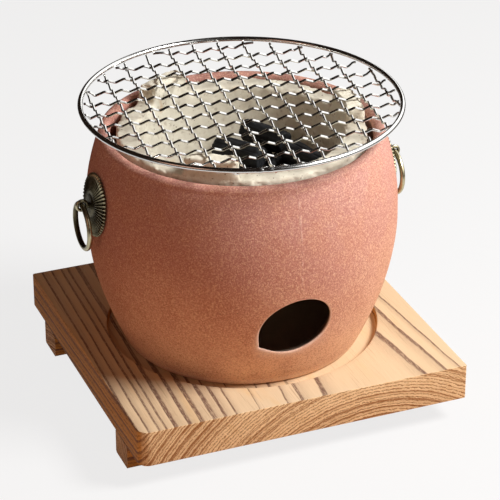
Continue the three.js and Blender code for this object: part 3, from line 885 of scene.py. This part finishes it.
def surface_of(mesh):
    """Places and normals of a mesh's corners, and how far each stands proud of its surroundings."""
    count = len(mesh.vertices)
    places, normals = np.zeros(3 * count), np.zeros(3 * count)
    mesh.vertices.foreach_get("co", places)
    mesh.vertex_normals.foreach_get("vector", normals)
    places, normals = places.reshape(-1, 3), normals.reshape(-1, 3)
    pairs = np.zeros(2 * len(mesh.edges), int)
    mesh.edges.foreach_get("vertices", pairs)
    pairs = pairs.reshape(-1, 2)
    calm = places.copy()
    for _ in range(8):
        total, near = np.zeros_like(calm), np.zeros(count)
        for a, b in ((0, 1), (1, 0)):
            np.add.at(total, pairs[:, a], calm[pairs[:, b]])
            np.add.at(near, pairs[:, a], 1)
        calm = total / near[:, None]
    return places, normals, ((places - calm) * normals).sum(axis=1)


def noise_field(places, size, offset=0.0):
    """Noise from -1 to 1 at each place, with features of about a size in metres."""
    shift = Vector((offset, offset, offset))
    return np.array([noise.noise(Vector(place) / size + shift) for place in places])


def store(mesh, name, values):
    """Keeps a value for each corner of a mesh under a name."""
    layer = mesh.attributes.new(name, "FLOAT", "POINT")
    layer.data.foreach_set("value", np.asarray(values, np.float32))


places, normals, proud = surface_of(liner.data)
edge = np.clip(proud / (0.45 * MM), 0, 1)
chips = np.clip(noise_field(places, 7 * MM) * 1.8 + noise_field(places, 2.6 * MM, 9) * 0.7 + 0.1, 0, 1)
lumps = noise_field(places, 12 * MM, 3) * 0.28 * MM + noise_field(places, 3.2 * MM, 5) * 0.14 * MM
pits = np.clip(noise_field(places, 1.9 * MM, 7) - 0.42, 0, 1) * 1.6 * MM
sink = edge * chips * chip_depth + pits + 0.12 * MM - np.minimum(lumps, 0.1 * MM)
places -= normals * sink[:, None]
liner.data.vertices.foreach_set("co", places.ravel())
store(liner.data, "chipped", edge * chips)
store(liner.data, "pitted", np.clip(pits / (0.3 * MM), 0, 1))
liner.data.update()

fireclay, shader, places = material("cream_fireclay")
coordinates = places["Object"]
spot = axes(coordinates)
reach = maths("SQRT", spot["X"] * spot["X"] + spot["Y"] * spot["Y"])
stain_and_shade_noise = grain_noise(coordinates, 45, 4, 0.6)
# Inside the bowl the clay is browner further down: partly fire scorch and partly painted shade.
depth = spot["Z"] + stain_and_shade_noise * 22 * MM - 11 * MM
scorch_and_shade = 1.0 - grown(depth, lip_top - 50 * MM, lip_top - 12 * MM)
scorch_and_shade = scorch_and_shade * (1.0 - grown(reach, bowl_mouth + 1 * MM, bowl_mouth + 4 * MM))
chalk_noise = grain_noise(coordinates, 300, 4, 0.6)
colour = mixed(chalk_noise, (0.62, 0.575, 0.45), (0.85, 0.815, 0.69))
colour = mixed(scorch_and_shade * 0.5, colour, (0.40, 0.33, 0.24))
# Brown blotches on the outer band under the grill rim: partly stain and partly painted shade of the rim.
band_stain_and_shade = grown(reach, liner_radius - 2.5 * MM, liner_radius - 1 * MM) * grown(stain_and_shade_noise, 0.64, 0.30, 0.45)
colour = mixed(band_stain_and_shade, colour, (0.42, 0.32, 0.23))
rust = grain_noise(coordinates, 75, 3, 0.65)
colour = mixed(grown(rust, 0.62, 0.78, 0.6), colour, (0.55, 0.36, 0.18))
specks = grain_noise(coordinates, 520, 1)
colour = mixed(grown(specks, 0.72, 0.76, 0.8), colour, (0.20, 0.13, 0.08))
colour = mixed(stored(coordinates, "chipped") * 0.55, colour, (0.93, 0.86, 0.72))
colour = mixed(stored(coordinates, "pitted") * 0.5, colour, (0.32, 0.24, 0.15))
finish(shader, colour, 0.95, chalk_noise + grain_noise(coordinates, 1300, 2), 0.5, 0.3 * MM, specular=0.15)
liner.data.materials.append(fireclay)
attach(liner, "liner")
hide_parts("fire_liner")

# ---------------------------------------------------------------- fire grate
# A cast-iron disc with two rings of round holes, let into the liner's floor. Air comes up
# through it and ash falls down. It is grey with patches of ash and spots of rust.
hole_radius = 3.6 * MM
hole_rings = ((6, 12.5 * MM), (10, 25.5 * MM))
edge_ease = 0.5 * MM
outline = bpy.data.curves.new("grate", "CURVE")
outline.dimensions = "2D"
outline.fill_mode = "BOTH"
circles = [(0, 0, grate_radius)]
for count, radius in hole_rings:
    circles += [(*on_circle(radius, 2 * math.pi * i / count).xy, hole_radius) for i in range(1, count + 1)]
for x, y, radius in circles:
    spline = outline.splines.new("POLY")
    sides = 96 if radius == grate_radius else 28
    inward = edge_ease if radius == grate_radius else -edge_ease
    spline.points.add(sides - 1)
    for i, point in enumerate(spline.points):
        turn = 2 * math.pi * i / sides
        point.co = (x + (radius - inward) * math.cos(turn), y + (radius - inward) * math.sin(turn), 0, 1)
    spline.use_cyclic_u = True
outline.extrude = (grate_high.z - grate_low.z) / 2 - edge_ease
outline.bevel_depth = edge_ease
outline.bevel_resolution = 2
grate = shown("grate_iron", outline)
grate_mesh = bpy.data.meshes.new_from_object(grate.evaluated_get(bpy.context.evaluated_depsgraph_get()))
bpy.data.objects.remove(grate)
grate_mesh.transform(Matrix.Translation((0, 0, (grate_low.z + grate_high.z) / 2)))
merge = bmesh.new()
merge.from_mesh(grate_mesh)
bmesh.ops.remove_doubles(merge, verts=merge.verts, dist=0.01 * MM)
bmesh.ops.recalc_face_normals(merge, faces=merge.faces)
merge.to_mesh(grate_mesh)
merge.free()
grate = shown("grate_iron", smooth(grate_mesh))

cast_iron, shader, places = material("ashy_cast_iron")
ash = grain_noise(places["Object"], 160, 4, 0.65)
pitting = grain_noise(places["Object"], 1100, 2)
colour = mixed(grown(ash, 0.45, 0.7), (0.055, 0.045, 0.04), (0.32, 0.29, 0.26))
colour = mixed(grown(pitting, 0.6, 0.8, 0.6), colour, (0.13, 0.055, 0.025))
finish(shader, colour, ash * 0.3 + 0.6, ash + pitting, 0.5, 0.3 * MM, metallic=0.4)
grate_mesh.materials.append(cast_iron)
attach(grate, "liner")
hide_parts("fire_grate")

# ---------------------------------------------------------------- charcoal
# Short sticks of lump charcoal, broken by hand. The bark side is ridged along the stick, the
# broken ends show cracks that run out from the heart. Crumbs that broke off lie among them.
lower_stick = {"radius": 8.8 * MM, "length": 31 * MM, "headings": (25, 25, 25, 25)}
upper_stick = {"radius": 7.7 * MM, "length": 32 * MM, "headings": (-62, -55, -75)}
lump, shader, places = material("lump_charcoal")
sheen = grain_noise(places["Object"], 120, 3)
grit = grain_noise(places["Object"], 900, 3, 0.6)
colour = mixed(grown(sheen, 0.42, 0.7), (0.006, 0.006, 0.0065), (0.020, 0.022, 0.025))
colour = mixed(grown(grit, 0.66, 0.8, 0.5), colour, (0.14, 0.135, 0.13))
finish(shader, colour, sheen * 0.3 + 0.5, grit, 0.6, 0.3 * MM, specular=0.25)


def charcoal_stick(number, radius, length, heading):
    """One stick, where its solid lies, with its ridges, cracks and broken ends."""
    low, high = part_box(f"charcoal_{number}")
    middle = (low + high) / 2
    tall = high.z - low.z
    steps = 26
    rings = []
    for along in evenly(-1, 1, steps):
        blunt = 1 - 0.16 * max(0, abs(along) - 0.88) / 0.12
        ring = []
        for turn in full_turn(48):
            uneven = 1 + 0.06 * math.sin(2 * turn + number) + 0.04 * math.sin(5 * turn + 2.3 * number)
            ring.append(Vector((along * (length / 2 - 0.2 * MM),
                                radius * blunt * uneven * 0.92 * math.cos(turn),
                                tall / 2 * blunt * uneven * 0.9 * math.sin(turn))))
        rings.append(ring)
    stick = lofted(f"charcoal_lump_{number}", rings)
    fused = stick.modifiers.new("fused", "REMESH")
    fused.mode = "VOXEL"
    fused.voxel_size = 0.62 * MM
    plain_mesh(stick, sharp=180)
    places, normals, proud = surface_of(stick.data)
    bark = noise_field(places * np.array([0.12, 1, 1]) + number, 1.7 * MM) * 0.55 * MM
    rough = noise_field(places + number, 4.5 * MM) * 0.5 * MM + noise_field(places, 1.3 * MM) * 0.18 * MM
    at_end = np.clip((np.abs(normals[:, 0]) - 0.5) / 0.4, 0, 1)
    turns = np.arctan2(places[:, 2], places[:, 1])
    out = np.hypot(places[:, 1], places[:, 2]) / radius
    star = np.abs(np.sin(turns * 3.5 + number + 1.5 * out))
    cracks = np.clip(1 - star * 7 * np.maximum(out, 0.15), 0, 1) * 1.1 * MM
    split = np.clip(1 - np.abs(np.sin(turns * 1.5 + number)) * 12, 0, 1) * 1.2 * MM
    depth = at_end * cracks + (1 - at_end) * (split + np.abs(bark)) + np.abs(rough) * 0.8
    places -= normals * depth[:, None]
    stick.data.vertices.foreach_set("co", places.ravel())
    stick.data.transform(Matrix.Translation(middle) @ Matrix.Rotation(math.radians(heading), 4, "Z"))
    stick.data.materials.append(lump)
    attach(stick, "liner")
    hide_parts(f"charcoal_{number}")


number = 1
for stick in (lower_stick, upper_stick):
    for heading in stick["headings"]:
        charcoal_stick(number, stick["radius"], stick["length"], heading)
        number += 1

crumb_tree, given = node_group("charcoal_crumbs", {
    "Heap Radius": 0.025, "Heap Height": 0.014, "Smallest": 0.0024, "Largest": 0.0056, "Uneven": 0.003,
    "Crumbs": 52, "Middle": "Vector", "Finish": "Material"})


def strewn(low, high, seed):
    """A random vector for each crumb."""
    return add(crumb_tree, "FunctionNodeRandomValue", {0: low, 1: high, "Seed": seed},
               data_type="FLOAT_VECTOR")


heap_size = joined(crumb_tree, given["Heap Radius"], given["Heap Radius"], given["Heap Height"])
place = add(crumb_tree, "ShaderNodeVectorMath", {
    0: strewn((-1, -1, -0.5), (1, 1, 0.5), 4), 1: heap_size, 2: given["Middle"]},
    operation="MULTIPLY_ADD")
crumb_spots = add(crumb_tree, "GeometryNodePoints", {"Count": given["Crumbs"], "Position": place})
crumb_shape = add(crumb_tree, "GeometryNodeMeshIcoSphere", {"Radius": 1.0, "Subdivisions": 4})
least, most = (joined(crumb_tree, size, size, size) for size in (given["Smallest"], given["Largest"]))
crumb_lumps = add(crumb_tree, "GeometryNodeInstanceOnPoints", {
    "Points": crumb_spots, "Instance": crumb_shape,
    "Rotation": strewn((0, 0, 0), (6, 6, 6), 11), "Scale": strewn(least, most, 8)})
real_crumbs = add(crumb_tree, "GeometryNodeRealizeInstances", {0: crumb_lumps})
crumb_noise = add(crumb_tree, "ShaderNodeTexNoise", {
    "Vector": add(crumb_tree, "GeometryNodeInputPosition"), "Scale": 230.0, "Detail": 2.5})
push = add(crumb_tree, "ShaderNodeVectorMath", {
    0: add(crumb_tree, "GeometryNodeInputNormal"), "Scale": (crumb_noise - 0.6) * given["Uneven"]},
    operation="SCALE")
broken_crumbs = add(crumb_tree, "GeometryNodeSetPosition", {"Geometry": real_crumbs, "Offset": push})
given_out(crumb_tree, broken_crumbs, given["Finish"])
stick_boxes = [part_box(f"charcoal_{i}") for i in range(1, number)]
heap_middle = sum((low + high for low, high in stick_boxes), Vector()) / (2 * len(stick_boxes))
crumbs = grown_by(crumb_tree, "charcoal_crumbs", {
    "Middle": heap_middle + Vector((9 * MM, 2 * MM, -3 * MM)), "Finish": lump})
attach(crumbs, "liner")

# ---------------------------------------------------------------- grill
# A round rim of bright drawn wire, bent round and butt welded at the front, and under it a net
# of thinner wires. Each is crimped twice between crossings and lies over one crossing and under
# the next, which locks the weave. The ends are cut off under the rim and tacked to it.
rim_wire_low, rim_wire_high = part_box("grill_ring")
rim_wire_radius = (rim_wire_high.z - rim_wire_low.z) / 2
rim_ring_radius = rim_wire_high.x - rim_wire_radius
net_low, net_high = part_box("net_row_6")
net_wire = 1.5 * MM
net_crimp = (net_high.z - net_low.z - net_wire) / 2
net_pitch = 15.2 * MM
net_turn = math.radians(-6)
net_phase = (0.65, 0.58)


def bright_steel(name):
    made, shader, places = material(name)
    drawn = grain_noise(places["Object"], 220, 3)
    tint = grain_noise(places["Object"], 30, 2)
    colour = mixed(tint, (0.78, 0.775, 0.755), (0.64, 0.63, 0.60))
    colour = mixed(grown(drawn, 0.58, 0.8, 0.35), colour, (0.42, 0.40, 0.36))
    finish(shader, colour, drawn * 0.16 + 0.1, drawn, 0.12, 0.15 * MM, metallic=1)
    return made


net_tree, given = node_group("crimped_net", {
    "Reach": 0.092, "Pitch": 0.0152, "Phase along X": 0.65, "Phase along Y": 0.58, "Crimp": 0.001,
    "Wire": 0.0012, "Turn": 0.0, "Height": 0.175, "Lift at Rim": 0.0008, "Wires each way": 14,
    "Finish": "Material"})


def way_of_wires(phase_along, phase_across, sign, quarter_turns):
    """All wires of one way: laid side by side, crimped, clipped to a circle and turned."""
    ends = given["Reach"] * 1.02
    wire = add(net_tree, "GeometryNodeCurvePrimitiveLine", {
        "Start": joined(net_tree, ends * -1), "End": joined(net_tree, ends)})
    wire = add(net_tree, "GeometryNodeResampleCurve", {"Curve": wire, "Length": 0.55 * MM}, mode="LENGTH")
    half = maths("FLOOR", given["Wires each way"] / 2)
    lane = add(net_tree, "GeometryNodeMeshLine", {
        "Count": given["Wires each way"],
        "Start Location": joined(net_tree, y=(phase_across - half) * given["Pitch"]),
        "Offset": joined(net_tree, y=given["Pitch"])})
    laid = add(net_tree, "GeometryNodeInstanceOnPoints", {"Points": lane, "Instance": wire})
    laid = add(net_tree, "GeometryNodeRealizeInstances", {0: laid})
    spot = axes(add(net_tree, "GeometryNodeInputPosition"))
    lanes = maths("ROUND", spot["Y"] / given["Pitch"] - phase_across)
    even = maths("PINGPONG", lanes, 1.0) * -2.0 + 1.0
    # Three bends to a mesh: one over or under each crossing, and two between.
    thirds = (spot["X"] / given["Pitch"] - phase_along) * 3.0
    wave = (maths("PINGPONG", thirds, 1.0) * -2.0 + 1.0) * 1.15
    wave = maths("MAXIMUM", maths("MINIMUM", wave, 1.0), -1.0) * even * float(sign)
    flat = joined(net_tree, spot["X"], spot["Y"])
    away = add(net_tree, "ShaderNodeVectorMath", {0: flat}, output="Value", operation="LENGTH")
    free = grown(given["Reach"] - away, 1.0 * MM, 4.0 * MM)
    tacked = 1.0 - free
    height = (wave * free + tacked) * given["Crimp"] + tacked * given["Lift at Rim"]
    crimped = add(net_tree, "GeometryNodeSetPosition", {
        "Geometry": laid, "Offset": joined(net_tree, z=height)})
    outside = add(net_tree, "FunctionNodeCompare", {0: away, 1: given["Reach"]}, operation="GREATER_THAN")
    clipped = add(net_tree, "GeometryNodeDeleteGeometry", {
        "Geometry": crimped, "Selection": outside}, domain="POINT")
    return add(net_tree, "GeometryNodeTransform", {
        "Geometry": clipped, "Rotation": joined(net_tree, z=quarter_turns * math.pi / 2)})


rows = way_of_wires(given["Phase along X"], given["Phase along Y"], 1, 0)
# A column is a row turned left by a quarter, so its own Y runs towards -X.
columns = way_of_wires(given["Phase along Y"], given["Phase along X"] * -1, -1, 1)
both = add(net_tree, "GeometryNodeJoinGeometry")
for way in (rows, columns):
    net_tree.links.new(way.socket, both.socket.node.inputs[0])
section = add(net_tree, "GeometryNodeCurvePrimitiveCircle", {
    "Resolution": 8, "Radius": given["Wire"] * 0.5})
drawn_wire = add(net_tree, "GeometryNodeCurveToMesh", {
    "Curve": both, "Profile Curve": section, "Fill Caps": True})
placed = add(net_tree, "GeometryNodeTransform", {
    "Geometry": drawn_wire, "Translation": joined(net_tree, z=given["Height"]),
    "Rotation": joined(net_tree, z=given["Turn"])})
given_out(net_tree, placed, given["Finish"])
steel = bright_steel("bright_steel_wire")
net = grown_by(net_tree, "grill_net", {
    "Reach": rim_ring_radius - 1.3 * MM, "Pitch": net_pitch, "Phase along X": net_phase[0],
    "Phase along Y": net_phase[1], "Crimp": net_crimp, "Wire": net_wire, "Turn": net_turn,
    "Height": (net_low.z + net_high.z) / 2, "Lift at Rim": 0.85 * MM, "Wires each way": 14,
    "Finish": steel})
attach(net, "grill")
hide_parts(*(f"net_{way}_{i}" for way in ("row", "column") for i in range(1, 13)))

weld_bearing = math.radians(-104)
weld_apart = 5.2 * MM
weld_long = 1.6 * MM
weld_proud = 0.28 * MM
nick_long = 0.8 * MM
rim_rings = []
for turn in full_turn(720):
    off = ((turn - weld_bearing + math.pi) % (2 * math.pi) - math.pi) * rim_ring_radius
    beads = sum(math.exp(-((off - side * weld_apart / 2) / weld_long) ** 4) for side in (-1, 1))
    nick = math.exp(-(off / nick_long) ** 2)
    ring = []
    for around in full_turn(20):
        thick = rim_wire_radius * (1 - 0.10 * nick) + weld_proud * beads * abs(math.cos(around))
        out = rim_ring_radius + thick * math.cos(around)
        ring.append(on_circle(out, turn, (rim_wire_low.z + rim_wire_high.z) / 2 + thick * math.sin(around)))
    rim_rings.append(ring[::-1])
rim = lofted("grill_rim", rim_rings, closed=True)
rim.data.materials.append(steel)
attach(rim, "grill")
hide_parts("grill_ring")

# ---------------------------------------------------------------- handles
# On each side a thin brass rosette is stamped with flutes and a beaded, scalloped edge. The legs
# of an eye pin go through it and the wall, and are bent open behind a washer. A cast ring hangs
# in the eye. All are toned dark as antique bronze and rubbed bright on their high edges.
handle_wire = 3.1 * MM
handle_radius = 13 * MM
eye_wire = 2 * MM
eye_radius = 2.9 * MM
eye_slack = 0.05 * MM
handle_height = 0.744 * pot_height
wall_lean = math.atan((pot_radius(handle_height - 1 * MM) - pot_radius(handle_height + 1 * MM)) / (2 * MM))
rosette_radius = 18.4 * MM
rosette_thick = 0.9 * MM
rosette_dome = 3.2 * MM
rosette_bore = 1.7 * MM
flute_depth = 0.45 * MM
bead_tall = 0.5 * MM
scallop_depth = 0.65 * MM
eye_gap = 0.3 * MM
stem_radius = 1.4 * MM
flutes = 50


def antique_bronze(name):
    """Dark toning in the hollows, rubbed metal where the attribute rubbed is high."""
    made, shader, places = material(name)
    spot = places["Object"]
    blotch = grain_noise(spot, 260, 4, 0.6)
    share = maths("ADD", stored(spot, "rubbed"), blotch * 0.5 - 0.24, clamp=True)
    colour = mixed(share, (0.105, 0.092, 0.052), (0.70, 0.62, 0.40))
    finish(shader, colour, 0.52 - share * 0.26, grain_noise(spot, 800, 2), 0.15, 0.15 * MM, metallic=1)
    return made


bronze = antique_bronze("antique_bronze")


def wire_ring(name, radius, wire, steps, sides, middle, turned):
    """A closed ring of round wire. Its outer side is rubbed the most."""
    rings, rubbed = [], []
    for turn in full_turn(steps):
        ring = []
        for around in full_turn(sides):
            out = radius + wire / 2 * math.cos(around)
            ring.append(middle + turned @ on_circle(out, turn, -wire / 2 * math.sin(around)))
            rubbed.append(0.35 + 0.45 * math.cos(around))
        rings.append(ring)
    made = lofted(name, rings, closed=True)
    store(made.data, "rubbed", rubbed)
    made.data.materials.append(bronze)
    return made


def rosette_face(out, turn):
    """Height of the stamped face over its edge, at a share of the radius and a bearing."""
    ridge = 0.5 + 0.5 * math.cos(flutes * turn)
    dome = rosette_dome * (1 - out ** 2.2)
    boss = -0.35 * MM * math.exp(-((out - 0.3) / 0.07) ** 2)
    flute = flute_depth * (ridge ** 0.8 - 0.55) * min(1, max(0, (out - 0.3) / 0.25)) * (1 - 0.25 * out)
    bead = bead_tall * ridge * math.exp(-((out - 0.93) / 0.055) ** 2)
    return dome + boss + flute + bead, ridge


def rosette(name, place):
    """Rings run from the bore over the face, round the scalloped edge and back underneath."""
    shares = [0.0, 0.06] + evenly(0.12, 0.985, 34)
    bearings = full_turn(flutes * 8)
    rings, rubbed = [], []
    for share, lift in [(share, 1.0) for share in shares] + [(1.0, 0.72), (1.0, 0.3)] \
            + [(share, 0.0) for share in (0.97, 0.8, 0.6, 0.4, 0.2, 0.0)]:
        ring = []
        for turn in bearings:
            height, ridge = rosette_face(share, turn)
            radius = rosette_bore + share * (rosette_radius - rosette_bore)
            radius -= scallop_depth * (1 - ridge) * share ** 3
            spot = Vector((rosette_base + height + lift * rosette_thick, radius * math.cos(turn),
                           radius * math.sin(turn)))
            ring.append(place @ spot)
            rubbed.append(lift * (0.95 * ridge ** 2 * share ** 5 + 0.04))
        rings.append(ring)
    made = lofted(name, rings[::-1], closed=True, sharp=60)
    store(made.data, "rubbed", rubbed[::-1])
    made.data.materials.append(bronze)
    return made


def squarish(value):
    """Fills a round section out towards its corners."""
    return math.copysign(abs(value) ** 0.5, value)


def eye_pin(name, place, middle):
    """The eye with its stem and its two flat legs, as one mesh."""
    eye = wire_ring(name, eye_radius, eye_wire, 72, 20, middle, Matrix.Rotation(math.pi / 2, 3, "X"))
    stem_turns = full_turn(24)
    leg_back = -(pot_wall + 1.9 * MM)
    stem_front = eye_out - eye_radius
    stem = []
    for along, radius in ((leg_back, 1.2 * MM), (leg_back + 0.4 * MM, stem_radius),
                          (stem_front - 0.4 * MM, stem_radius), (stem_front, 1.2 * MM)):
        stem.append([place @ Vector((along, radius * math.cos(turn), radius * math.sin(turn)))
                     for turn in stem_turns])
    legs = []
    for height in evenly(-10 * MM, 10 * MM, 24):
        wide = 1.3 * MM * math.sqrt(max(0.05, 1 - max(0, abs(height) - 8.7 * MM) ** 2 / (1.32 * MM) ** 2))
        thick = 0.7 * MM
        legs.append([place @ Vector((leg_back - 0.9 * MM + thick * squarish(math.sin(turn)),
                                     wide * squarish(math.cos(turn)), height)) for turn in stem_turns])
    parts = [lofted("stem", stem), lofted("legs", legs)]
    merged = bmesh.new()
    for part in (eye, *parts):
        merged.from_mesh(part.data)
    bmesh.ops.recalc_face_normals(merged, faces=merged.faces)
    merged.to_mesh(eye.data)
    merged.free()
    eye.data.set_sharp_from_angle(angle=math.radians(35))
    for part in parts:
        bpy.data.objects.remove(part)
    return eye


wall_drop = pot_radius(handle_height) - (
    pot_radius(handle_height - rosette_radius) - rosette_radius * math.tan(wall_lean))
rosette_base = eye_gap - wall_drop * math.cos(wall_lean)
eye_out = rosette_base + rosette_thick + rosette_dome + eye_gap + eye_wire / 2 + eye_radius
for side, name in ((-1, "left"), (1, "right")):
    ring_low, ring_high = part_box(f"handle_ring_{name}")
    hanging = (ring_low + ring_high) / 2
    eye_middle = hanging + Vector((0, 0, handle_radius + eye_slack))
    facing = Matrix.Rotation(0 if side > 0 else math.pi, 4, "Z") @ Matrix.Rotation(-wall_lean, 4, "Y")
    place = Matrix.Translation(eye_middle) @ facing @ Matrix.Translation((-eye_out, 0, 0))
    plate = rosette(f"rosette_plate_{name}", place)
    pin = eye_pin(f"eye_{name}", place, eye_middle)
    ring = wire_ring(f"hanging_ring_{name}", handle_radius, handle_wire, 160, 24, hanging,
                     Matrix.Rotation(math.pi / 2, 3, "Y"))
    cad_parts[f"pin_washer_{name}"].material_slots[0].material = zinc
    for piece, body, node in ((plate, "stove", f"rosette_{name}"), (pin, "stove", f"eye_pin_{name}"),
                              (ring, f"ring_{name}", f"handle_ring_{name}")):
        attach(piece, body)
        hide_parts(node)
